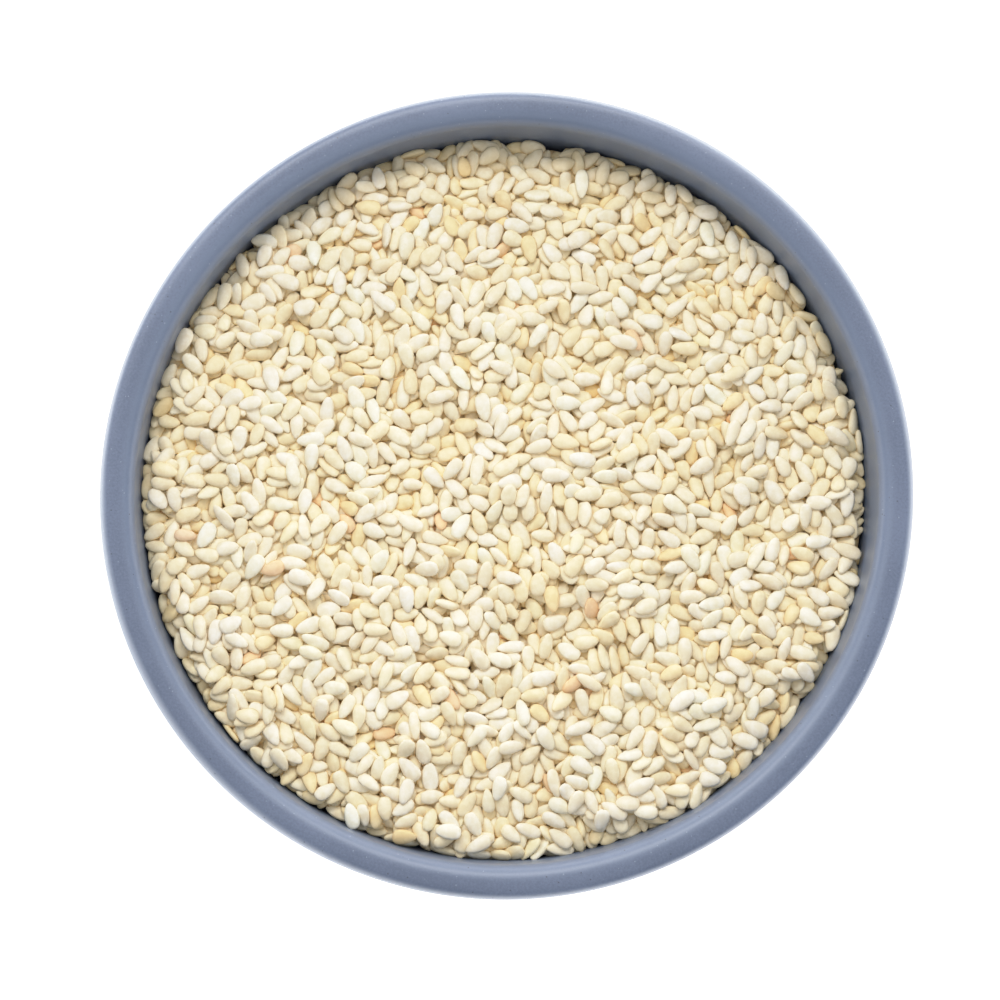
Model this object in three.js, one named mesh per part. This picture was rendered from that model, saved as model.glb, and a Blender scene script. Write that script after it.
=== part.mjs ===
// A small glazed stoneware bowl, filled with sesame seeds to just under its lip.
// Millimetres, +Z up; the origin is the centre of the foot's resting face.
import * as THREE from "three";

// The bowl's driving dimensions.
const RIM_RADIUS = 50; // outside, at the lip, along X
const OUT_OF_ROUND = 0.996; // its width along Y as a share of that along X, as it was thrown
const BOWL_HEIGHT = 47;
const WALL = 4.3; // thickness of the wall under the lip
const LIP_RIDGE = 2.1; // from the outside in to the lip's highest line
const LIP_OUTSIDE = 1.6; // height of the lip's rounding on the outside
const LIP_INSIDE = 2.2; // and on the inside
const OUTER_SQUARENESS = 3; // flat on top with a tight outer edge; 2 would be an ellipse
const INNER_SQUARENESS = 2.4; // and rounder on the inside
const BASE = 4.6; // thickness of the bottom
const SWELL_HEIGHT = 50; // where the wall's curve would stand upright, just above the lip

// The ring that the bowl stands on.
const FOOT_RADIUS = 25; // outside, where it meets the body
const FOOT_HEIGHT = 4;
const FOOT_WIDTH = 4.2;
const FOOT_DRAFT = 0.6; // the ring narrows by this much towards the table, on each side
const FOOT_EDGE = 0.5; // its rounded edges
const FOOT_RECESS = 2.2; // how far the bottom stands clear of the table inside the ring

// The heap of seeds.
const CONTACT_GAP = 0.3; // between the heap and the glaze
const EDGE_DEPTH = 6.4; // from the lip's top down to the seeds along the wall
const CROWN_DEPTH = 5.2; // from the lip's top down to the seeds in the middle
const CROWN_POWER = 2.6; // the heap is flat in the middle and falls off near the wall
const EDGE_ROUNDING = 0.9; // the outermost seeds lean down against the wall
const HEAP_LEAN = 0.02; // the heap's top slopes down towards +X by this much for each millimetre

// Swells and hollows that the settled seeds leave on top: crossed waves of these
// lengths and heights, running at these headings in degrees.
const SWELLS = [
  { length: 41, height: 0.3, heading: 18 },
  { length: 27, height: 0.22, heading: 107 },
  { length: 15, height: 0.16, heading: 151 },
  { length: 9.5, height: 0.12, heading: 62 },
];

// How finely the round forms are divided.
const AROUND = 64;
const WALL_STEPS = 12;
const LIP_STEPS = 5; // for each of the lip's two quarters
const FLOOR_STEPS = 2;
const HEAP_RINGS = 17;

const DOWN = -Math.PI / 2;

// The wall's section is part of an ellipse standing on the foot's outer edge.
const outsideHeight = SWELL_HEIGHT - FOOT_HEIGHT;
const outsideTop = BOWL_HEIGHT - LIP_OUTSIDE;
const insideTop = BOWL_HEIGHT - LIP_INSIDE;
const reachAtTop = Math.sqrt(1 - ((SWELL_HEIGHT - outsideTop) / outsideHeight) ** 2);
const outsideReach = (RIM_RADIUS - FOOT_RADIUS) / reachAtTop;

// Points along the wall from the bottom up to a height, on a surface inset from the outside.
function wallPoints(insetSide, insetBottom, height) {
  const reach = outsideReach - insetSide;
  const rise = outsideHeight - insetBottom;
  const end = Math.asin((height - SWELL_HEIGHT) / rise);
  const curve = new THREE.EllipseCurve(FOOT_RADIUS, SWELL_HEIGHT, reach, rise, DOWN, end);
  return curve.getPoints(WALL_STEPS);
}

// Part of an ellipse about a centre, between two directions.
function arcPoints(x, y, radiusX, radiusY, from, to, steps) {
  return new THREE.EllipseCurve(x, y, radiusX, radiusY, from, to).getPoints(steps);
}

// A quarter of a squared ellipse about a centre, from its side up to its top. The cosine and
// sine are raised to 2 / power, so that a higher power gives a flatter top and a tighter edge.
function lipQuarter(x, y, reach, rise, power) {
  return Array.from({ length: LIP_STEPS + 1 }, (_, i) => {
    const angle = ((i / LIP_STEPS) * Math.PI) / 2;
    const side = i < LIP_STEPS ? Math.cos(angle) ** (2 / power) : 0;
    return new THREE.Vector2(x + reach * side, y + rise * Math.sin(angle) ** (2 / power));
  });
}

// Points from a radius in to the axis at one height, in even steps.
function discPoints(radius, height, steps) {
  return Array.from({ length: steps }, (_, i) => {
    return new THREE.Vector2((radius * (steps - 1 - i)) / steps, height);
  });
}

// Turns a profile of radius and height round the Z axis.
function turned(profile) {
  const geometry = new THREE.LatheGeometry(profile, AROUND);
  geometry.rotateX(Math.PI / 2);
  return geometry.scale(1, OUT_OF_ROUND, 1);
}

// The underside: a recess inside the foot ring, and the ring's flat face with rounded edges.
function footPoints() {
  const outer = FOOT_RADIUS - FOOT_DRAFT - FOOT_EDGE;
  const inner = FOOT_RADIUS - FOOT_WIDTH + FOOT_DRAFT + FOOT_EDGE;
  const e = FOOT_EDGE;
  return [
    new THREE.Vector2(0, FOOT_RECESS),
    new THREE.Vector2(FOOT_RADIUS - FOOT_WIDTH, FOOT_RECESS),
    ...arcPoints(inner, e, e, e, -Math.PI, DOWN, 2),
    ...arcPoints(outer, e, e, e, DOWN, 0, 2),
  ];
}

function bowlGeometry() {
  const outside = wallPoints(0, 0, outsideTop);
  const inside = wallPoints(WALL, BASE, insideTop).reverse();
  const ridge = RIM_RADIUS - LIP_RIDGE;
  const inward = inside[0].x - ridge;
  const lip = [
    ...lipQuarter(ridge, outsideTop, LIP_RIDGE, LIP_OUTSIDE, OUTER_SQUARENESS).slice(1),
    ...lipQuarter(ridge, insideTop, inward, LIP_INSIDE, INNER_SQUARENESS).reverse().slice(1, -1),
  ];
  const floor = discPoints(FOOT_RADIUS, FOOT_HEIGHT + BASE, FLOOR_STEPS);
  return turned([...footPoints(), ...outside, ...lip, ...inside, ...floor]);
}

// How far the heap's top stands above its smooth crown at a place.
function swell(x, y) {
  return SWELLS.reduce((sum, wave) => {
    const heading = THREE.MathUtils.degToRad(wave.heading);
    const along = x * Math.cos(heading) + y * Math.sin(heading);
    return sum + wave.height * Math.sin((2 * Math.PI * along) / wave.length + heading);
  }, 0);
}

// Height of the smooth crown at a share of the way from the middle to the wall.
function crownHeight(share) {
  const fall = (EDGE_DEPTH - CROWN_DEPTH) * share ** CROWN_POWER;
  return BOWL_HEIGHT - CROWN_DEPTH - fall;
}

function heapGeometry() {
  const edgeHeight = crownHeight(1) - EDGE_ROUNDING;
  const inset = WALL + CONTACT_GAP;
  const floor = FOOT_HEIGHT + BASE + CONTACT_GAP;
  const side = wallPoints(inset, BASE + CONTACT_GAP, edgeHeight);
  const edge = side.at(-1).x;
  const rings = Array.from({ length: HEAP_RINGS }, (_, i) => 1 - (i + 1) / HEAP_RINGS);
  const shoulder = new THREE.Vector2(edge - EDGE_ROUNDING / 3, crownHeight(1));
  const crown = rings.map((share) => new THREE.Vector2(edge * share, crownHeight(share)));
  const under = discPoints(FOOT_RADIUS, floor, FLOOR_STEPS).reverse();
  const geometry = turned([...under, ...side, shoulder, ...crown]);
  const place = geometry.getAttribute("position");
  const waist = BOWL_HEIGHT / 2; // the lean fades out from the top down to here
  for (let i = 0; i < place.count; i += 1) {
    const [x, y, z] = [place.getX(i), place.getY(i), place.getZ(i)];
    const onTop = z > edgeHeight + EDGE_ROUNDING / 2;
    const share = THREE.MathUtils.clamp((z - waist) / (edgeHeight - waist), 0, 1);
    place.setZ(i, z + (onTop ? swell(x, y) : 0) - share * HEAP_LEAN * x);
  }
  return geometry;
}

function part(name, geometry, color, roughness) {
  const material = new THREE.MeshStandardMaterial({ color, roughness, metalness: 0 });
  const mesh = new THREE.Mesh(geometry, material);
  mesh.name = name;
  return mesh;
}

const bowlOfSeeds = new THREE.Group();
bowlOfSeeds.add(
  part("bowl", bowlGeometry(), 0x7d899d, 0.32),
  part("sesame_seeds", heapGeometry(), 0xe6d8b8, 0.6),
);

export default bowlOfSeeds;
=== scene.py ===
# %% [markdown]
# A small stoneware bowl, glazed blue-grey and filled with sesame seeds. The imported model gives
# the bowl's place and size; this script gives the bowl its fine surface and puts thousands of
# single seeds where the model has one plain heap.

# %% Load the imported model
import time

import bpy
import numpy as np
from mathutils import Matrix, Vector


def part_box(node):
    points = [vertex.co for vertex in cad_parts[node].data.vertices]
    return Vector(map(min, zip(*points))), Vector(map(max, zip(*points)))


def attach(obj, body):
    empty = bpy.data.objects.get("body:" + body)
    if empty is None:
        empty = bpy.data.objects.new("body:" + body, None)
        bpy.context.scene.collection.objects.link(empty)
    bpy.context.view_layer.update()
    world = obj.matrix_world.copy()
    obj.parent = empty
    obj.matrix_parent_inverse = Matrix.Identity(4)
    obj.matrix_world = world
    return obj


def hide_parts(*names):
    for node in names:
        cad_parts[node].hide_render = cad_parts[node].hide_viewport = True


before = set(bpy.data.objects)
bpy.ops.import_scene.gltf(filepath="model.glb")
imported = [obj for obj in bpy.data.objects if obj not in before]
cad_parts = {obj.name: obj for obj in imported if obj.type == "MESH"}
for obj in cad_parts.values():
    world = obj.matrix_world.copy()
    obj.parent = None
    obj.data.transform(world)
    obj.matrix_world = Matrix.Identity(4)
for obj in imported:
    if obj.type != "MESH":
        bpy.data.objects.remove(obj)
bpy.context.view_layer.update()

MM = 0.001
TURN = 2 * np.pi

# %% [markdown]
# Every surface here is a grid of points, rows by columns, that numpy works out in one go. A grid
# can be wrapped round in its column direction, as a tube is, and each end can be closed by one
# point. One helper turns such arrays into a Blender mesh. Mesh operators could join the points
# as well, but a table of faces built from index sums is faster and gives the same mesh each time.


# %% Put arrays into a mesh
def wrapped_faces(rows, columns):
    """Corner numbers of the quads between neighbouring rows of a grid that is wrapped round."""
    row = np.arange(rows - 1)[:, None]
    column = np.arange(columns)[None, :]
    after = (column + 1) % columns
    corners = (row * columns + column, row * columns + after,
               (row + 1) * columns + after, (row + 1) * columns + column)
    return np.stack(np.broadcast_arrays(*corners), axis=-1).reshape(-1, 4)


def add_mesh(name, points, faces, sides):
    """Makes an object from points in metres, a flat list of corners and each face's corner count."""
    mesh = bpy.data.meshes.new(name)
    mesh.vertices.add(len(points))
    mesh.vertices.foreach_set("co", np.ascontiguousarray(points, dtype=np.float32).ravel())
    mesh.loops.add(len(faces))
    mesh.loops.foreach_set("vertex_index", faces.astype(np.int32))
    mesh.polygons.add(len(sides))
    starts = np.concatenate([[0], np.cumsum(sides)[:-1]]).astype(np.int32)
    mesh.polygons.foreach_set("loop_start", starts)
    mesh.polygons.foreach_set("use_smooth", np.ones(len(sides), dtype=bool))
    mesh.update(calc_edges=True)
    mesh.validate()
    thing = bpy.data.objects.new(name, mesh)
    bpy.context.scene.collection.objects.link(thing)
    return thing


# %% [markdown]
# The bowl was thrown on a wheel, so one profile turned round the axis makes it: down inside the
# foot ring, out along the body, over the lip and down the inside. The body and the inside are
# parts of ellipses. The wheel leaves it slightly uneven, so the radius and the lip's height
# swing a little with the angle.

# %% Sizes of the bowl
# In millimetres. The first three come from the model's bowl.
bowl_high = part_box("bowl")[1]
RIM = bowl_high.x / MM
HEIGHT = bowl_high.z / MM
OUT_OF_ROUND = bowl_high.y / bowl_high.x
WALL = 4.3  # thickness under the lip
LIP_RIDGE = 2.1  # from the outside in to the lip's highest line
LIP_OUTSIDE = 1.6  # height of the lip's rounding outside
LIP_INSIDE = 2.2  # and inside
OUTER_SQUARENESS = 3  # 2 is an ellipse, more has a flatter top and a tighter edge
INNER_SQUARENESS = 2.4
BASE = 4.6  # thickness of the bottom
SWELL_HEIGHT = 50.0  # where the wall would stand upright
FOOT_RADIUS = 25.0
FOOT_HEIGHT = 4.0
FOOT_WIDTH = 4.2
FOOT_DRAFT = 0.6  # the foot narrows by this much on each side
FOOT_EDGE = 0.5  # its rounded edges
FOOT_RECESS = 2.2  # the bottom stands this far off the table
outside_top = HEIGHT - LIP_OUTSIDE
inside_top = HEIGHT - LIP_INSIDE
outside_rise = SWELL_HEIGHT - FOOT_HEIGHT
drop_at_top = (SWELL_HEIGHT - outside_top) / outside_rise
outside_reach = (RIM - FOOT_RADIUS) / np.sqrt(1 - drop_at_top ** 2)
print(f"bowl {2 * RIM:.1f} mm wide, {HEIGHT:.1f} mm high, {OUT_OF_ROUND:.3f} out of round")


# %% The bowl's profile
def wall_radius(height, inset, bottom):
    """Radius of the ellipse that stands on the foot, at a height; inset from the outside."""
    drop = (SWELL_HEIGHT - height) / (outside_rise - bottom)
    return FOOT_RADIUS + (outside_reach - inset) * np.sqrt(np.clip(1 - drop ** 2, 0, 1))


def wall_curve(inset, bottom, top, steps):
    """Points on that ellipse from the bottom up to a height, evenly spaced in angle."""
    rise = outside_rise - bottom
    angle = np.linspace(0, np.arccos((SWELL_HEIGHT - top) / rise), steps)
    radius = FOOT_RADIUS + (outside_reach - inset) * np.sin(angle)
    return np.stack([radius, SWELL_HEIGHT - rise * np.cos(angle)], axis=1)


def arc(centre, size, start, end, steps):
    """Points on an ellipse about a centre: centre plus size times cosine and sine."""
    angle = np.linspace(start, end, steps) * np.pi / 180
    return np.array(centre) + np.stack([size[0] * np.cos(angle), size[1] * np.sin(angle)], axis=1)


def lip_quarter(centre, size, power, steps):
    """A squared ellipse from its side up to its top: cosine and sine to the power 2 / power."""
    angle = np.linspace(0, np.pi / 2, steps)
    shape = np.abs(np.stack([np.cos(angle), np.sin(angle)], axis=1)) ** (2 / power)
    shape[-1, 0] = 0
    return np.array(centre) + size * shape


def bowl_profile():
    """Radius and height, from the middle of the underside round to the middle of the floor."""
    outside = wall_curve(0, 0, outside_top, 60)
    inside = wall_curve(WALL, BASE, inside_top, 60)[::-1]
    ridge = RIM - LIP_RIDGE
    inward = inside[0, 0] - ridge
    outer = lip_quarter((ridge, outside_top), (LIP_RIDGE, LIP_OUTSIDE), OUTER_SQUARENESS, 30)
    inner = lip_quarter((ridge, inside_top), (inward, LIP_INSIDE), INNER_SQUARENESS, 24)
    lip = [outer[1:], inner[-2:0:-1]]
    e = FOOT_EDGE
    ring_in = FOOT_RADIUS - FOOT_WIDTH + FOOT_DRAFT + e
    ring_out = FOOT_RADIUS - FOOT_DRAFT - e
    recess_reach = FOOT_RADIUS - FOOT_WIDTH - e
    recess = np.stack([np.linspace(0, recess_reach, 8), np.full(8, FOOT_RECESS)], axis=1)
    fillet = arc((recess_reach, FOOT_RECESS - e), (e, e), 90, 0, 5)[1:]
    foot = [arc((ring_in, e), (e, e), 180, 270, 6), arc((ring_out, e), (e, e), 270, 360, 6)]
    joint = arc((FOOT_RADIUS + 0.4, FOOT_HEIGHT - 0.5), (0.7, 0.5), 180, 90, 5)
    floor = np.stack([np.linspace(FOOT_RADIUS, 0, 10)[1:], np.full(9, FOOT_HEIGHT + BASE)], axis=1)
    keep = outside[:, 0] > FOOT_RADIUS + 1
    return np.concatenate([recess, fillet, *foot, joint, outside[keep], *lip, inside, floor])


profile = bowl_profile()
print("profile points:", len(profile))


# %% Turn the bowl
def turned(profile, columns):
    """Each profile point goes round the axis; the radius and the height swing by slow waves."""
    angle = np.arange(columns)[None, :] / columns * TURN
    radius, height = profile[1:-1, 0:1], profile[1:-1, 1:2]
    share = np.clip(height / HEIGHT, 0, 1)
    # Waves in mm: two, three and five round the lip, and a dip of the lip's height twice round.
    swing = 0.21 * np.sin(2 * angle) + 0.03 * np.cos(3 * angle + 2.1) + 0.02 * np.cos(5 * angle)
    dip = -0.05 + 0.05 * np.cos(2 * angle + 2.6)
    radius = radius + swing * share
    x = radius * np.cos(angle)
    y = radius * np.sin(angle) * OUT_OF_ROUND
    z = np.broadcast_to(height, x.shape) + dip * share ** 4
    grid = np.stack([x, y, z], axis=-1).reshape(-1, 3)
    ends = np.array([[0, 0, profile[0, 1]], [0, 0, profile[-1, 1]]])
    return np.concatenate([grid, ends])


def capped_faces(rows, columns):
    """Quads of a wrapped grid and, at both ends, triangles to the two last points."""
    quads = wrapped_faces(rows, columns)
    column = np.arange(columns)
    after = (column + 1) % columns
    first, last = rows * columns, rows * columns + 1
    top = (rows - 1) * columns
    start = np.stack([np.full(columns, first), after, column], axis=1)
    end = np.stack([np.full(columns, last), top + column, top + after], axis=1)
    corners = np.concatenate([start.ravel(), quads.ravel(), end.ravel()])
    sides = np.concatenate([np.full(columns, 3), np.full(len(quads), 4), np.full(columns, 3)])
    return corners, sides


BOWL_COLUMNS = 240
corners, sides = capped_faces(len(profile) - 2, BOWL_COLUMNS)
bowl = add_mesh("glazed_bowl", turned(profile, BOWL_COLUMNS) * MM, corners, sides)
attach(bowl, "root")
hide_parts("bowl")
print("bowl faces:", len(bowl.data.polygons))

# %% [markdown]
# Materials are written as sums. A small class holds one socket of a node tree, and adding or
# multiplying two of them adds a Math node. Whatever else is needed comes from one method that
# takes the node's type, its settings and its inputs.


# %% Shader sums
class Wire:
    """An output socket. Sums, differences and products with it add Math nodes."""

    def __init__(self, shader, socket):
        self.shader, self.socket = shader, socket

    def math(self, operation, *values):
        return self.shader.node("ShaderNodeMath", {"operation": operation}, dict(enumerate(values)))

    def __add__(self, other):
        return self.math("ADD", self, other)

    def __rsub__(self, other):
        return self.math("SUBTRACT", other, self)

    def __mul__(self, other):
        return self.math("MULTIPLY", self, other)

    __radd__ = __add__
    __rmul__ = __mul__


class Shader:
    """The nodes of one material, or of the surround, that end in its surface node."""

    def __init__(self, owner, last):
        owner.use_nodes = True
        self.owner, self.tree = owner, owner.node_tree
        self.last = self.tree.nodes[last]

    def node(self, kind, settings=None, inputs=None, output=0):
        node = self.tree.nodes.new(kind)
        for key, value in (settings or {}).items():
            if key == "stops":
                self.set_stops(node.color_ramp, value)
            else:
                setattr(node, key, value)
        for key, value in (inputs or {}).items():
            self.feed(node.inputs[key], value)
        return Wire(self, node.outputs[output])

    def set_stops(self, ramp, stops):
        while len(ramp.elements) < len(stops):
            ramp.elements.new(0.5)
        for element, (place, shade) in zip(ramp.elements, stops):
            element.position = place
            element.color = shade

    def feed(self, socket, value):
        if isinstance(value, Wire):
            self.tree.links.new(value.socket, socket)
        else:
            socket.default_value = value

    def surface(self, **inputs):
        for key, value in inputs.items():
            self.feed(self.last.inputs[key.replace("_", " ")], value)

    def place(self):
        return self.node("ShaderNodeTexCoord", output="Object")

    def noise(self, scale, detail=2.0, rough=0.5, place=None):
        inputs = {"Vector": place or self.place(), "Scale": scale, "Detail": detail, "Roughness": rough}
        return self.node("ShaderNodeTexNoise", {}, inputs)

    def between(self, value, low, high):
        """0 below low, 1 above high, a smooth step between them."""
        inputs = {"Value": value, "From Min": low, "From Max": high}
        return self.node("ShaderNodeMapRange", {"interpolation_type": "SMOOTHSTEP"}, inputs)

    def mix(self, factor, first, second, blend="MIX"):
        settings = {"data_type": "RGBA", "blend_type": blend}
        return self.node("ShaderNodeMix", settings, {0: factor, 6: first, 7: second}, output=2)


def material(name, **constants):
    """A new material with one Principled BSDF and constants on its sockets."""
    shader = Shader(bpy.data.materials.new(name), "Principled BSDF")
    shader.surface(**constants)
    return shader


def color(red, green, blue):
    """A colour given as a screen shows it, 0 to 255, in the linear numbers that shaders take."""
    c = np.array([red, green, blue]) / 255
    linear = np.where(c <= 0.04045, c / 12.92, ((c + 0.055) / 1.055) ** 2.4)
    return (*linear, 1.0)


# %% [markdown]
# The glaze is a satin blue-grey, mottled by soft clouds and a fine grain, with a few pale specks
# and dark pinholes. Its outer edge at the lip is painted paler, a painted highlight for the bright
# surround that it catches there, and inside the lip it is painted lighter, a painted light for the
# light that falls on the inner slope. A picture wrapped on the bowl could show this too, but noise
# and masks in the bowl's own coordinates stay sharp at any size and have no seam.

# %% Masks on the bowl
SPECK = 0.1 * MM
SPECKS_PER_METRE = 900.0
PINHOLE = 0.12 * MM
PINHOLES_PER_METRE = 650.0


def dots(shader, per_metre, radius):
    """1 in small round dots: where the nearest of many scattered points is within the radius."""
    cells = shader.node("ShaderNodeTexVoronoi", {}, {"Vector": shader.place(), "Scale": per_metre})
    edge = radius * per_metre
    return 1 - shader.between(cells, edge * 0.6, edge)


def off_axis(shader):
    """Distance from the upright axis."""
    kind = "ShaderNodeVectorMath"
    flat = shader.node(kind, {"operation": "MULTIPLY"}, {0: shader.place(), 1: (1, 1, 0)})
    return shader.node(kind, {"operation": "LENGTH"}, {0: flat}, output="Value")


# %% The glaze
CLOUDS = 60.0  # per metre
GRAIN = 3200.0
glaze = material("blue_grey_glaze", IOR=1.68)
cloud = glaze.noise(CLOUDS, 4.0, 0.6)
grain = glaze.noise(GRAIN, 3.0, 0.7)
ridge = RIM - LIP_RIDGE
# Painted light: inside the lip's ridge the glaze is painted lighter, for the light that falls on the
# inner slope.
inside = 1 - glaze.between(off_axis(glaze), (ridge - 1.2) * MM, ridge * MM)
mottle = glaze.between(0.5 * cloud + 0.5 * grain, 0.35, 0.65)
body = glaze.mix(mottle, color(86, 98, 122), color(102, 114, 139))
body = glaze.mix(0.6 * inside, body, color(108, 121, 144))
height = glaze.node("ShaderNodeSeparateXYZ", {}, {"Vector": glaze.place()}, output="Z")
# Painted highlight: the lip's outer edge is painted paler, for the bright surround that it catches
# there.
outer_edge = glaze.between(off_axis(glaze), (RIM - 1.0) * MM, (RIM - 0.3) * MM)
edge_highlight = outer_edge * glaze.between(height, (HEIGHT - 2.8) * MM, (HEIGHT - 1.4) * MM)
body = glaze.mix(0.55 * edge_highlight, body, color(168, 176, 190))
body = glaze.mix(0.35 * dots(glaze, SPECKS_PER_METRE, SPECK), body, color(176, 186, 200))
body = glaze.mix(0.6 * dots(glaze, PINHOLES_PER_METRE, PINHOLE), body, color(52, 56, 66))
bump = glaze.node("ShaderNodeBump", {}, {"Strength": 0.2, "Distance": 0.0001, "Height": grain})
glaze.surface(Base_Color=body, Roughness=0.35 + 0.08 * grain, Normal=bump)
bowl.data.materials.append(glaze.owner)
print("glaze nodes:", len(glaze.tree.nodes))

# %% [markdown]
# The seeds have to lie as poured seeds do: leaning on each other at every angle, and not through
# each other. Placing them by hand or scattering them on a surface shows at once, and a rigid body
# simulation of thousands of hulls is slow. Here each seed counts as an ellipsoid. Two ellipsoids
# overlap when a certain number of the pair, worked out from their two matrices, is below one, and
# the same sum gives the direction in which to push and turn them apart. All pairs are done at
# once as arrays: the seeds sink a little, are pushed apart a little, and after some hundred
# rounds they lie still. Most are poured first, as a bed; the last ones then come to rest on it,
# as single seeds do that lie loose on top.

# %% The heap's shape
EDGE_DEPTH = 6.4  # from the lip's top down to the seeds along the wall
CROWN_DEPTH = 5.2  # and in the middle
CROWN_POWER = 2.6
HEAP_LEAN = 0.02
LAYER = 3.1  # depth of the loose seeds
# Waves on the heap's top: length and height in mm, heading in degrees.
SWELLS = ((41, 0.30, 18), (27, 0.22, 107), (15, 0.16, 151), (9.5, 0.12, 62))
heap_radius = wall_radius(HEIGHT - EDGE_DEPTH, WALL, BASE)
# How much wider the inside gets for each millimetre up, between 12 and 6 mm below the lip.
WALL_SLOPE = (wall_radius(HEIGHT - 6, WALL, BASE) - wall_radius(HEIGHT - 12, WALL, BASE)) / 6


def ring_radius(x, y):
    """Distance from the axis, with the bowl's narrow direction stretched to match the wide one."""
    return np.sqrt(x ** 2 + (y / OUT_OF_ROUND) ** 2) + 1e-9


def crown(x, y):
    """Height of the heap's top: a low dome that falls off at the wall, a lean and crossed waves."""
    share = ring_radius(x, y) / heap_radius
    dome = HEIGHT - CROWN_DEPTH - (EDGE_DEPTH - CROWN_DEPTH) * share ** CROWN_POWER
    waves = -HEAP_LEAN * x
    for length, height, heading in SWELLS:
        turn = np.radians(heading)
        along = x * np.cos(turn) + y * np.sin(turn)
        waves = waves + height * np.sin(TURN * along / length + turn)
    return dome + waves


print(f"seeds reach {heap_radius:.1f} mm from the axis, wall slope {WALL_SLOPE:.3f}")

# %% Kinds of seed
# Name: how many, then length, width and thickness in mm.
KINDS = {
    "seeds_ivory": (1770, 3.20, 1.82, 0.86),
    "seeds_slim": (1700, 3.24, 1.64, 0.84),
    "seeds_cream": (1640, 3.08, 1.78, 0.86),
    "seeds_golden": (250, 3.00, 1.74, 0.84),
    "seeds_toasted": (60, 2.95, 1.70, 0.82),
}
SPREAD = 0.07  # share by which sizes vary
rng = np.random.default_rng(7)
kind_of = np.repeat(np.arange(len(KINDS)), [k[0] for k in KINDS.values()])
seed_count = len(kind_of)
half_size = np.array([k[1:] for k in KINDS.values()]).T[:, kind_of] / 2
half_size = half_size * (1 + SPREAD * rng.normal(size=half_size.shape).clip(-2.2, 2.2))
print("seeds:", seed_count)


# %% Sums on many small vectors and symmetric matrices
# A vector is three rows of numbers, one column for each seed; a symmetric matrix is six rows.
SIX = ((0, 0), (1, 1), (2, 2), (0, 1), (0, 2), (1, 2))


def dot(a, b):
    """Sum of the products of the three rows."""
    return a[0] * b[0] + a[1] * b[1] + a[2] * b[2]


def cross(a, b):
    """The vectors at right angles to both."""
    return np.stack([a[1] * b[2] - a[2] * b[1], a[2] * b[0] - a[0] * b[2], a[0] * b[1] - a[1] * b[0]])


def times(m, v):
    """Each symmetric matrix times its vector."""
    xx, yy, zz, xy, xz, yz = m
    return np.stack([xx * v[0] + xy * v[1] + xz * v[2],
                     xy * v[0] + yy * v[1] + yz * v[2],
                     xz * v[0] + yz * v[1] + zz * v[2]])


def solve(m, v):
    """The vector that each matrix turns into v, by cofactors."""
    xx, yy, zz, xy, xz, yz = m
    cofactors = np.stack([yy * zz - yz * yz, xx * zz - xz * xz, xx * yy - xy * xy,
                          xz * yz - xy * zz, xy * yz - xz * yy, xy * xz - xx * yz])
    size = xx * cofactors[0] + xy * cofactors[3] + xz * cofactors[4]
    return times(cofactors, v) / size


def rotation(q):
    """Three by three matrices from unit quaternions."""
    w, x, y, z = q
    return np.array([[1 - 2 * (y * y + z * z), 2 * (x * y - w * z), 2 * (x * z + w * y)],
                     [2 * (x * y + w * z), 1 - 2 * (x * x + z * z), 2 * (y * z - w * x)],
                     [2 * (x * z - w * y), 2 * (y * z + w * x), 1 - 2 * (x * x + y * y)]])


def along_axes(turn, lengths):
    """The symmetric matrix with these lengths along the turned axes."""
    return np.stack([sum(turn[i, k] * turn[j, k] * lengths[k] for k in range(3)) for i, j in SIX])


# %% Which seeds are near each other
STRIDE = 4096  # more than the number of columns in a row
OFFSET = 1000  # keeps the column numbers positive


def neighbours(p, reach):
    """Pairs closer than reach, found by sorting the seeds into square columns of that width."""
    cell = np.floor(p[:2] / reach).astype(np.int64) + OFFSET
    key = cell[0] * STRIDE + cell[1]
    order = np.argsort(key, kind="stable")
    key = key[order]
    place = np.arange(len(key))
    first, second = [], []
    for step in (0, STRIDE, 1, STRIDE + 1, STRIDE - 1):
        start = np.searchsorted(key, key + step, "left")
        stop = np.searchsorted(key, key + step, "right")
        start = place + 1 if step == 0 else start
        found = stop - start
        first.append(np.repeat(place, found))
        offset = np.arange(found.sum()) - np.repeat(np.cumsum(found) - found, found)
        second.append(offset + np.repeat(start, found))
    a, b = order[np.concatenate(first)], order[np.concatenate(second)]
    r = p[:, b] - p[:, a]
    near = dot(r, r) < reach ** 2
    return a[near], b[near]


# %% How two ellipsoids meet
HALVINGS = 5


def contact(shape_a, shape_b, r):
    """Where the ellipsoids A and B, r apart, would touch if both were scaled alike.

    With M = (1 - t) A + t B, the value t (1 - t) r . M^-1 r is largest at one t between 0 and 1,
    which halving finds. That value is the square of the scale at which they touch, and M^-1 r
    points along their common normal.
    """
    low, high = np.zeros(len(r[0])), np.ones(len(r[0]))
    difference = shape_b - shape_a
    for _ in range(HALVINGS):
        t = (low + high) / 2
        y = solve(shape_a + t * difference, r)
        rises = (1 - 2 * t) * dot(r, y) > t * (1 - t) * dot(y, times(difference, y))
        low, high = np.where(rises, t, low), np.where(rises, high, t)
    t = (low + high) / 2
    y = solve(shape_a + t * difference, r)
    return t * (1 - t) * dot(r, y), y, (1 - t) * times(shape_a, y)


def core_surface(p):
    """Distance above the heap's core, and the way out of it."""
    share = ring_radius(p[0], p[1]) / heap_radius
    slope = (EDGE_DEPTH - CROWN_DEPTH) * CROWN_POWER * share ** (CROWN_POWER - 1) / heap_radius
    way = np.stack([slope * p[0], slope * p[1], share * heap_radius]) / (share * heap_radius)
    way = way / np.sqrt(dot(way, way))
    return (p[2] - crown(p[0], p[1]) + LAYER) * way[2], way


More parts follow.
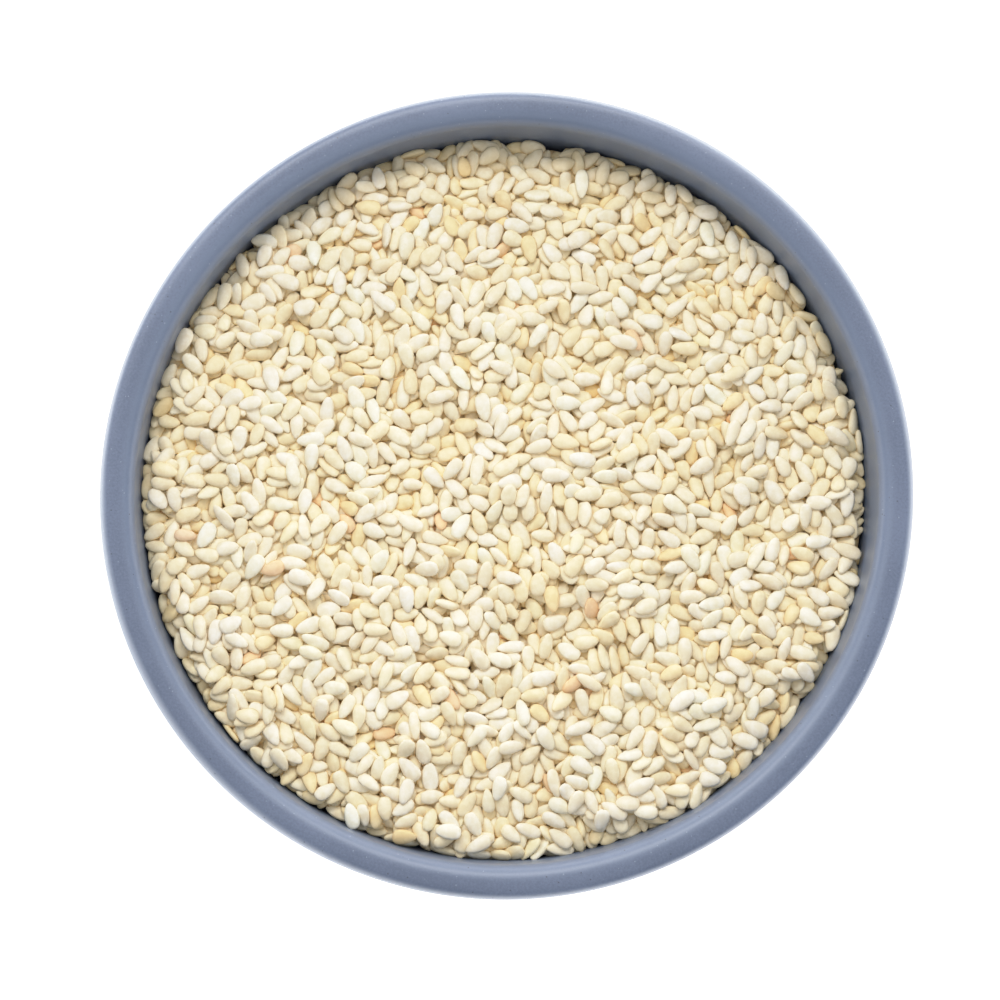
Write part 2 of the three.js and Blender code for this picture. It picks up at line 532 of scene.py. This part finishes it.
def wall_surface(p):
    """Distance inside the bowl's wall, which leans out by its slope, and the way off it."""
    radius = ring_radius(p[0], p[1])
    room = heap_radius + (p[2] - HEIGHT + EDGE_DEPTH) * WALL_SLOPE - radius
    way = np.stack([-p[0] / radius, -p[1] / radius, np.full_like(radius, WALL_SLOPE)])
    size = np.sqrt(dot(way, way))
    return room / size, way / size


# %% How seeds push each other
def summed(count, index, values):
    """Adds up the values of all contacts of each seed."""
    return np.stack([np.bincount(index, weights=row, minlength=count) for row in values])


def pair_pushes(p, a, b, shape, ease_of_turning, free):
    """How far overlapping pairs move and turn their seeds, and each seed's number of touches.

    A pair's overlap is shared by how easily each seed gives way where they touch: 1 for moving,
    and the turning that the lever from its middle adds. A seed that isn't free gives nothing.
    """
    count = len(free)
    r = p[:, b] - p[:, a]
    scale, normal, arm_a = contact(shape[:, a], shape[:, b], r)
    hit = scale < 1
    i, j, r, arm_a = a[hit], b[hit], r[:, hit], arm_a[:, hit]
    normal = normal[:, hit] / np.sqrt(dot(normal[:, hit], normal[:, hit]))
    depth = (1 / np.sqrt(scale[hit]) - 1) * dot(r, normal)
    lever_a, lever_b = cross(arm_a, normal), cross(arm_a - r, normal)
    spin_a = times(ease_of_turning[:, i], lever_a)
    spin_b = times(ease_of_turning[:, j], lever_b)
    push = depth / (free[i] * (1 + dot(lever_a, spin_a)) + free[j] * (1 + dot(lever_b, spin_b)))
    move = summed(count, j, normal * push) - summed(count, i, normal * push)
    spin = summed(count, j, spin_b * push) - summed(count, i, spin_a * push)
    return move, spin, np.bincount(np.concatenate([i, j]), minlength=count), depth


def surface_push(p, surface, shape, ease_of_turning):
    """How far a surface moves and turns the seeds whose lowest point towards it lies past it."""
    way = surface(p)[1]
    low_point = -times(shape, way) / np.sqrt(dot(way, times(shape, way)))
    past = np.maximum(0, -surface(p + low_point)[0])
    lever = cross(low_point, way)
    turning = times(ease_of_turning, lever)
    push = past / (1 + dot(lever, turning))
    return way * push, turning * push, past > 0


# %% Let the seeds settle
REACH = 3.8  # pairs further apart than this can't touch
NEARLY = 1.7  # square of the scale up to which a pair is followed for some rounds
PAIRS_KEPT = 8  # rounds before the pairs are looked for again
HASTE = 1.3  # how much of a push is done at once
CALM = 0.6  # and how much of a turn
MOST_MOVE = 0.25  # mm in one round
MOST_SPIN = 0.20  # radians in one round


def at_most(v, most):
    """Shortens the vectors that are longer than most."""
    return v * np.minimum(1, most / np.sqrt(dot(v, v) + 1e-12))


def settle(p, q, half, free, rounds, fall):
    """Sinks the free seeds and pushes them off all others, round after round, until they lie still.

    free is 1 for a seed that moves and 0 for one that already lies still.
    """
    square = half ** 2
    inertia = 5 / np.stack([square[1] + square[2], square[0] + square[2], square[0] + square[1]])
    for step in range(rounds):
        p[2] -= fall * min(1.0, 2.5 * (1 - step / rounds)) * free
        turn = rotation(q)
        shape = along_axes(turn, square)
        ease_of_turning = along_axes(turn, inertia)
        if step % PAIRS_KEPT == 0:
            a, b = neighbours(p, REACH)
            r = p[:, b] - p[:, a]
            close = 0.5 * dot(r, solve(shape[:, a] + shape[:, b], r)) < NEARLY
            close &= free[a] + free[b] > 0
            a, b = a[close], b[close]
        move, spin, touches, depth = pair_pushes(p, a, b, shape, ease_of_turning, free)
        for surface in (core_surface, wall_surface):
            moved, turned_by, touching = surface_push(p, surface, shape, ease_of_turning)
            move += moved
            spin += turned_by
            touches = touches + touching
        share = free * HASTE / np.sqrt(np.maximum(touches, 1))
        move, spin = at_most(move * share, MOST_MOVE), at_most(spin * share * CALM, MOST_SPIN)
        p += move
        w, v = q[0], q[1:]
        q = q + 0.5 * np.concatenate([[-dot(spin, v)], spin * w + cross(spin, v)])
        q = q / np.sqrt((q ** 2).sum(0))
        if step % 60 == 0 or step == rounds - 1:
            print(f"  round {step}: {len(depth)} touches, mean overlap {depth.mean():.3f} mm")
    return p, q


# %% Pour the seeds
LEAN = 0.45  # radians by which most seeds lean at first
LATE = 0.22  # share of the seeds that is poured last
OFF_WALL = 1.5  # mm from the wall within which no seed starts
BED_ROUNDS, BED_FALL = 280, 0.06  # rounds, and mm that a seed sinks in each
LATE_ROUNDS, LATE_FALL = 120, 0.07


def scattered(count, low, spread):
    """Places over the heap, from low above its crown upwards, and turns that lean off flat.

    A turn is a heading about the upright axis, followed by a lean about a level one.
    """
    distance = np.sqrt(rng.random(count)) * (heap_radius - OFF_WALL)
    heading, yaw, way = rng.random((3, count)) * TURN
    x, y = distance * np.cos(heading), distance * np.sin(heading) * OUT_OF_ROUND
    z = crown(x, y) + low + spread * rng.random(count)
    lean = LEAN * rng.normal(size=count) / 2
    level_x, level_y = np.sin(lean) * np.cos(way), np.sin(lean) * np.sin(way)
    turn = np.stack([np.cos(lean) * np.cos(yaw / 2),
                     level_x * np.cos(yaw / 2) + level_y * np.sin(yaw / 2),
                     level_y * np.cos(yaw / 2) - level_x * np.sin(yaw / 2),
                     np.cos(lean) * np.sin(yaw / 2)])
    return np.stack([x, y, z]), turn


started = time.time()
late = rng.random(seed_count) < LATE
seed_place, seed_turn = scattered(seed_count, 1 - LAYER, 7)
bed = np.flatnonzero(~late)
seed_place[:, bed], seed_turn[:, bed] = settle(
    seed_place[:, bed], seed_turn[:, bed], half_size[:, bed], np.ones(len(bed)),
    BED_ROUNDS, BED_FALL)
print(f"{len(bed)} seeds of the bed settled in {time.time() - started:.0f} s")

# %% Pour the last ones on top
NEARLY_ALL = 88  # percent of the seeds that the heap's level is to stand above
seed_place[:, late], seed_turn[:, late] = scattered(late.sum(), 2.0, 2.5)
seed_place, seed_turn = settle(
    seed_place, seed_turn, half_size, late * 1.0, LATE_ROUNDS, LATE_FALL)
top = seed_place[2] + np.sqrt(along_axes(rotation(seed_turn), half_size ** 2)[2])
level = np.percentile(top - crown(seed_place[0], seed_place[1]), NEARLY_ALL)
print(f"all settled in {time.time() - started:.0f} s, the top lies {level:.2f} mm off the crown")

# %% [markdown]
# Poured seeds seldom fill the last row along the wall, and dark gaps show there. The settled
# seeds fill it evenly, because each one finds the wall. So after they lie still, half of those
# on top beside the wall are left out, which opens gaps and moves nothing else.

# %% Leave gaps along the wall
ROW = 1.9  # mm from the wall
TOP_LAYER = 2.3  # mm below the top
LEFT_OUT = 0.5
beside = wall_surface(seed_place)[0] < ROW
on_top = seed_place[2] > crown(seed_place[0], seed_place[1]) + level - TOP_LAYER
kept = ~(beside & on_top & (rng.random(seed_count) < LEFT_OUT))
print("left out beside the wall:", (~kept).sum(), "of", (beside & on_top).sum())

# %% [markdown]
# A hulled sesame seed is a flat drop: one end comes to a blunt point, the other is round, and it
# is widest a little towards the round end. One formula gives all the seeds of a kind at once:
# rows run along the seed and columns go round it, and each seed has its own size, taper, bend
# and dent. Eight columns and seven rows are enough, since there are thousands. A subdivided and
# smoothed box would do for one seed, but not give thousands that all differ.

# %% Shape of a seed
SEED_ROWS = 7
SEED_COLUMNS = 8
BEND = 0.05  # share of its width by which a seed curves sideways
SKEW = 0.12  # and of its thickness, up or down
DENT = 0.06
BOW_MIDDLE = 0.3
TAPER = 0.21  # share by which the pointed end is narrower
TAPER_SPREAD = 0.06
SIDE_POWER = 0.78
BULGE_POWER = 0.62
BELLY_POWER = 0.72


def seed_shapes(half, random):
    """Drops with half sizes a, b, c: x = -a cos(s), y = b w(s) C(t), z = c h(s) S(t).

    s runs from the pointed end, 0, to the round end, pi, and t goes round. w and h are powers
    of sin(s), w's larger towards the point, times 1 - taper cos(s). C and S are cos(t) and
    sin(t) to a power below one, which flattens the faces and tightens the edges. Bend and skew
    add a little of x squared.
    """
    n = half.shape[1]
    draw = random.normal(size=(6, n, 1, 1)).clip(-2, 2)
    a, b, c = half[:, :, None, None]
    s = (np.arange(1, SEED_ROWS + 1) / (SEED_ROWS + 1) * np.pi)[None, :, None]
    t = (np.arange(SEED_COLUMNS) / SEED_COLUMNS * TURN)[None, None, :]
    taper = TAPER + TAPER_SPREAD * draw[0]
    power = 0.82 + (0.09 + 0.05 * draw[1]) * (1 + np.cos(s))
    drop = np.sin(s) ** power * (1 - taper * np.cos(s))
    belly = np.sin(s) ** BELLY_POWER * (1 - 0.4 * taper * np.cos(s))
    side = np.sign(np.cos(t)) * np.abs(np.cos(t)) ** SIDE_POWER
    bulge = np.sign(np.sin(t)) * np.abs(np.sin(t)) ** BULGE_POWER
    x = -a * np.cos(s) + 0 * t
    bow = (x / a) ** 2 - BOW_MIDDLE
    skew_y, skew_z = BEND * draw[2] * b, SKEW * draw[3] * c
    dent = DENT * draw[4] * np.sin(t) ** 2 * np.cos(2 * s + draw[5]) * np.sign(np.sin(t)) * np.sin(s)
    y = b * drop * side + skew_y * bow
    z = c * (belly * bulge - dent) + skew_z * bow
    grid = np.stack([x, y, z], axis=-1).reshape(n, -1, 3)
    off_y, off_z = skew_y[:, 0, 0] * (1 - BOW_MIDDLE), skew_z[:, 0, 0] * (1 - BOW_MIDDLE)
    tips = [np.stack([sign * half[0], off_y, off_z], axis=-1)[:, None] for sign in (-1, 1)]
    return np.concatenate([grid, *tips], axis=1)


seed_corners, seed_sides = capped_faces(SEED_ROWS, SEED_COLUMNS)
PER_SEED = SEED_ROWS * SEED_COLUMNS + 2
print("faces of one seed:", len(seed_sides))


# %% Flat places for each seed's skin
MARGIN = 0.06  # of a seed's square, kept free on each side


def seed_uv(number, of):
    """Gives each seed its own square of the map: rows across it, columns up it.

    A face that spans the seam, from the last column back to the first, goes on past 1, and a
    tip takes the middle of its face, so that no face is stretched across the square.
    """
    side = int(np.ceil(np.sqrt(of)))
    row, column = seed_corners // SEED_COLUMNS, seed_corners % SEED_COLUMNS
    tip = seed_corners >= PER_SEED - 2
    across = np.where(tip, seed_corners - PER_SEED + 2, (row + 1) / (SEED_ROWS + 1))
    up = column / SEED_COLUMNS
    starts = np.concatenate([[0], np.cumsum(seed_sides)[:-1]])
    face = np.repeat(np.arange(len(seed_sides)), seed_sides)
    lowest = np.minimum.reduceat(np.where(tip, 9, up), starts)[face]
    highest = np.maximum.reduceat(np.where(tip, -9, up), starts)[face]
    wraps = highest - lowest > 0.5
    up = np.where(wraps & (up < 0.5) & ~tip, up + 1, up)
    middle = np.where(wraps, (highest + 1) / 2, (lowest + highest) / 2)
    up = np.where(tip, middle, up)
    cell = np.stack([number % side, number // side], axis=-1)[:, None, :]
    inner = MARGIN + (1 - 2 * MARGIN) * np.stack([across, up], axis=-1)[None]
    return (cell + inner) / side


# %% [markdown]
# The skin of a hulled seed is ivory and slightly waxy. Light goes a little way into it, but it
# comes out again so close by that subsurface scattering looks the same as a plain skin here and
# takes twice as long. Each seed has its own tone, kept as a colour on its points. It is yellower
# towards one end, some seeds more than others: partly toast, partly a painted glow for the light
# that comes through the thin end. The lower seeds get a painted shade, warmer and darker, for the
# warm light bounced between them. The shader adds what is finer than the points: faint mottling
# and grain.

# %% Colours of the seeds
# Name: base colour, how much it varies, and the colour of the yellower end with its share; the
# yellower end is partly toast and partly a painted glow for light through the thin end.
TONES = {
    "seeds_ivory": ((252, 243, 223), 0.025, (250, 231, 189), 0.10),
    "seeds_slim": ((251, 240, 216), 0.025, (249, 227, 181), 0.12),
    "seeds_cream": ((249, 236, 205), 0.03, (247, 220, 168), 0.18),
    "seeds_golden": ((249, 229, 185), 0.03, (245, 207, 147), 0.32),
    "seeds_toasted": ((247, 215, 177), 0.03, (236, 187, 135), 0.42),
}
# Painted shade: the lower seeds lose these shares of red, green and blue, which makes them warmer and
# darker, for the warm light between them.
PAINTED_SHADE = np.array([0.02, 0.04, 0.13])  # share of red, green and blue that the lower seeds lose
PALEST = 0.97
# Painted glow in part: a seed's yellower end is partly toast and partly light through its thin end;
# this share has it at the round end.
YELLOWER_AT_ROUND_END = 0.35  # share of the seeds that are toasted at the round end, not the point


def seed_colors(name, sunk, random):
    """A base tone for each seed, mixed towards the yellower one with the cube of the way to an end,
    which is partly toast and partly a painted glow for light through the thin end.

    sunk is 0 for seeds on top of the heap and 1 for those below, which get a painted shade:
    warmer and darker, for the warm light bounced between them.
    """
    n = len(sunk)
    base, vary, end_tone, share = TONES[name]
    base, end_tone = np.array(color(*base)[:3]), np.array(color(*end_tone)[:3])
    shade = 1 + vary * random.normal(size=(n, 1, 1)).clip(-2.5, 2.5)
    warm = random.normal(size=(n, 1, 1)) * vary * np.array([0.0, 0.5, 1.6])
    rows = np.repeat(np.arange(SEED_ROWS), SEED_COLUMNS) + 1.0
    row = np.concatenate([rows, [0, SEED_ROWS + 1]])
    along = row / (SEED_ROWS + 1)
    end = random.random((n, 1)) < YELLOWER_AT_ROUND_END
    reach = random.random((n, 1)) ** 2
    amount = np.where(end, along, 1 - along) ** 3 * reach * 2 * share
    amount = np.clip(amount + share * 0.5 * random.random((n, 1)), 0, 1)[..., None]
    rgb = (base * (1 - amount) + end_tone * amount) * shade * (1 - warm)
    rgb = (rgb * (1 - sunk[:, None, None] * PAINTED_SHADE)).clip(0, PALEST)
    return np.concatenate([rgb, np.ones((*rgb.shape[:2], 1))], axis=-1)


# %% The seeds' material
skin = material("sesame_skin", IOR=1.45)
tint = skin.node("ShaderNodeAttribute", {"attribute_name": "tint"}, output="Color")
mottle = skin.noise(900.0, 3.0, 0.6)
fine = skin.noise(5200.0, 2.0, 0.6)
tone = skin.mix(skin.between(mottle, 0.35, 0.7), color(244, 240, 230), color(255, 255, 255))
skin_color = skin.mix(1.0, tint, tone, blend="MULTIPLY")
skin_bump = skin.node("ShaderNodeBump", {}, {"Strength": 0.3, "Distance": 0.00006, "Height": fine})
skin.surface(Base_Color=skin_color, Roughness=0.42 + 0.2 * mottle, Normal=skin_bump)
print("skin nodes:", len(skin.tree.nodes))

# %% [markdown]
# Thousands of objects would be slow to open and to pick from, and one mesh for all would be too
# heavy, so each kind becomes one mesh. The drops are drawn slightly larger than the ellipsoids
# that settled, so that neighbours touch.

# %% Make the pieces
PLUMP = 1.03
# How far below the top the painted shade of the lower seeds begins, and how much further down it is
# full.
SUNK_FROM = 0.5  # mm below the top, where seeds begin to be warmer
SUNK_OVER = 1.3  # mm further down until they are fully so
turns = rotation(seed_turn)
below = crown(seed_place[0], seed_place[1]) + level - seed_place[2]
sunk = ((below - SUNK_FROM) / SUNK_OVER).clip(0, 1)
for k, name in enumerate(KINDS):
    mine = np.flatnonzero((kind_of == k) & kept)
    local = seed_shapes(half_size[:, mine] * PLUMP, rng)
    world = np.einsum("ijn,nvj->nvi", turns[:, :, mine], local)
    world += (seed_place[:, mine] - np.array([[0], [0], [level]])).T[:, None, :]
    shift = (np.arange(len(mine)) * PER_SEED)[:, None]
    corners = (seed_corners[None] + shift).ravel()
    piece = add_mesh(name, world.reshape(-1, 3) * MM, corners, np.tile(seed_sides, len(mine)))
    # The points' colours hold each seed's tone, its yellower end and the painted shade of the lower
    # seeds.
    tints = seed_colors(name, sunk[mine], rng)
    layer = piece.data.color_attributes.new("tint", "FLOAT_COLOR", "POINT")
    layer.data.foreach_set("color", tints.astype(np.float32).ravel())
    uv = piece.data.uv_layers.new(name="OFBake")
    uv.data.foreach_set("uv", seed_uv(np.arange(len(mine)), len(mine)).astype(np.float32).ravel())
    piece.data.materials.append(skin.owner)
    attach(piece, "root")
    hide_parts("sesame_seeds")
    print(name, len(mine), "seeds,", len(mine) * (seed_sides - 2).sum(), "triangles")

# %% [markdown]
# Under the loose seeds lies a core, which is never seen clearly: it fills the bowl below them, and
# its top has the relief of more seeds, so that a deep gap doesn't end on a smooth floor. Seeds
# all the way down would be truer, but nothing shows them, and they would take long to settle.

# %% The core
CORE_RINGS = 90
CORE_COLUMNS = 240
CORE_GAP = 0.4  # between the core and the glaze
CORE_RELIEF = 0.35


def core_points():
    """A disc of rings whose height is the crown less a layer, with seed-sized bumps on it."""
    share = (np.arange(CORE_RINGS, 0, -1) / CORE_RINGS)[:, None]
    angle = (np.arange(CORE_COLUMNS) / CORE_COLUMNS * TURN)[None, :]
    reach = heap_radius - 1.0
    x, y = share * reach * np.cos(angle), share * reach * np.sin(angle) * OUT_OF_ROUND
    bumps = np.sin(x * 2.1 + 1.3 * np.sin(y * 1.1)) * np.sin(y * 2.3 + 1.1 * np.sin(x * 0.9))
    z = crown(x, y) - LAYER + 0.1 + CORE_RELIEF * bumps
    top = np.stack([x, y, z], axis=-1)
    side = wall_curve(WALL + CORE_GAP, BASE + CORE_GAP, HEIGHT - EDGE_DEPTH - LAYER - 1.5, 24)
    radius, height = side[:, 0:1], side[:, 1:2] + 0 * angle
    under = [radius * np.cos(angle), radius * np.sin(angle) * OUT_OF_ROUND, height]
    rows = np.concatenate([np.stack(under, axis=-1), top])
    ends = np.array([[0, 0, side[0, 1]], [0, 0, crown(0.0, 0.0) - LAYER]])
    return np.concatenate([rows.reshape(-1, 3), ends]), len(rows)


points, rows = core_points()
corners, sides = capped_faces(rows, CORE_COLUMNS)
core = add_mesh("heap_core", points * MM, corners, sides)
# Painted shade: the core is painted darker and browner than the seeds it stands for, for the deep shade
# between them.
core_shade = material("heap_core_painted_shade", Roughness=0.8)
spots = core_shade.noise(700.0, 3.0, 0.6)
patches = core_shade.between(spots, 0.4, 0.65)
core_shade.surface(Base_Color=core_shade.mix(patches, color(196, 166, 122), color(228, 204, 160)))
core.data.materials.append(core_shade.owner)
print("core faces:", len(core.data.polygons))
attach(core, "root")
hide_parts("sesame_seeds")

# %% [markdown]
# The bowl stands on plain white, which glows a little so that it stays white beside the bowl. A
# wide window on the far side gives the seeds their shade and the near lip its soft band of light.
# The surround does the rest: it is bright low down, which lights the lip's outer edge, dim half
# way up, and bright again above, which reaches down between the seeds. Straight overhead, where
# the camera is and what the lip's flat top mirrors, it is a little dimmer. Several lamps could
# do the same, but a surround with bands has no hard edges to mirror.

# %% The floor
FLOOR = 2.0
floor_corners = np.array([[-1, -1, 0], [1, -1, 0], [1, 1, 0], [-1, 1, 0]]) * FLOOR
floor = add_mesh("floor", floor_corners, np.arange(4), np.array([4]))
paper = material("white_floor", Roughness=0.9, Base_Color=color(250, 250, 250),
                 Emission_Color=color(255, 255, 255), Emission_Strength=1.4)
floor.data.materials.append(paper.owner)

# %% The window
WINDOW_PLACE = Vector((-0.1, 0.65, 0.9))
WINDOW_SIZE = (1.25, 0.28)
WINDOW_POWER = 7.2
lamp = bpy.data.lights.new("window", "AREA")
lamp.shape = "RECTANGLE"
lamp.size, lamp.size_y = WINDOW_SIZE
lamp.energy = WINDOW_POWER
window = bpy.data.objects.new("window", lamp)
window.location = WINDOW_PLACE
towards_lip = Vector((0, 0, HEIGHT * MM)) - WINDOW_PLACE
window.rotation_euler = towards_lip.to_track_quat("-Z", "Y").to_euler()
bpy.context.scene.collection.objects.link(window)

# %% The surround
# Brightness at the sine of a height above the horizon. The far side, +Y, is brighter by this share.
SKY = ((0.0, 4.6), (0.22, 2.3), (0.32, 0.28), (0.52, 0.14),
       (0.62, 0.45), (0.82, 1.08), (0.9, 1.08), (0.96, 0.8), (1.0, 0.76))
FAR_SIDE = 0.45
surround = bpy.data.worlds.new("surround")
bpy.context.scene.world = surround
sky = Shader(surround, "Background")
direction = sky.node("ShaderNodeTexCoord", output="Generated")
up = sky.node("ShaderNodeSeparateXYZ", {}, {"Vector": direction}, output="Z")
far = sky.node("ShaderNodeSeparateXYZ", {}, {"Vector": direction}, output="Y")
stops = [((1 + sine) / 2, (light, light, light, 1.0)) for sine, light in SKY]
bands = sky.node("ShaderNodeValToRGB", {"stops": stops}, {"Fac": 0.5 + 0.5 * up})
sky.surface(Color=bands, Strength=1 + FAR_SIDE * far)

# %% [markdown]
# The photo looks almost straight down from above. The camera is aimed at the middle of the lip
# and leans by a few degrees, which shows more of the inside wall at the top of the picture.

# %% The camera
DISTANCE = 0.65  # metres from the middle of the lip
LEAN_BACK = np.radians(4.70)
LEAN_LEFT = np.radians(1.06)
WIDTH_SHOWN = 0.12252  # metres across the picture at the lip's height
SENSOR = 36.0
lens = bpy.data.cameras.new("camera")
lens.sensor_width = SENSOR
lens.lens = SENSOR * DISTANCE / WIDTH_SHOWN
camera = bpy.data.objects.new("camera", lens)
aim = Vector((-0.91, -0.91, HEIGHT)) * MM
camera.rotation_euler = (LEAN_BACK, -LEAN_LEFT, 0)
camera.location = aim + camera.rotation_euler.to_matrix() @ Vector((0, 0, DISTANCE))
bpy.context.scene.collection.objects.link(camera)
bpy.context.scene.camera = camera
print("lens:", round(lens.lens, 1), "mm, camera at", [round(c, 3) for c in camera.location])

# %% [markdown]
# Light between pale seeds bounces many times before it gets out. Cutting it off after the usual
# four diffuse bounces leaves the gaps too dark, so more are followed.

# %% How far light is followed
BOUNCES = 12
bpy.context.scene.cycles.max_bounces = BOUNCES
bpy.context.scene.cycles.diffuse_bounces = BOUNCES

# %% [markdown]
# A camera doesn't cut off at white but bends towards it, and the palest seeds lie in that bend.
# Tones up to about three quarters stay as they are, and the rest are drawn in so that 1.3 becomes
# white. The plain view transform with a curve keeps the other tones true, which a film-like
# transform would not.

# %% How bright tones end
WHITE = 1.3
SHOULDER = ((0.72, 0.72), (0.8, 0.785), (0.9, 0.852), (1.0, 0.903), (1.1, 0.95), (1.2, 0.986))
view = bpy.context.scene.view_settings
view.view_transform = "Standard"
view.use_curve_mapping = True
curves = view.curve_mapping
curves.white_level = (WHITE, WHITE, WHITE)
curves.tone = "STANDARD"
for light, shown in SHOULDER:
    curves.curves[3].points.new(light / WHITE, shown)
for point in curves.curves[3].points:
    point.handle_type = "VECTOR"
curves.update()
print("points of the tone curve:", len(curves.curves[3].points))

# %% [markdown]
# Last, one line is printed to close the script.

# %% Done
print("scene built")
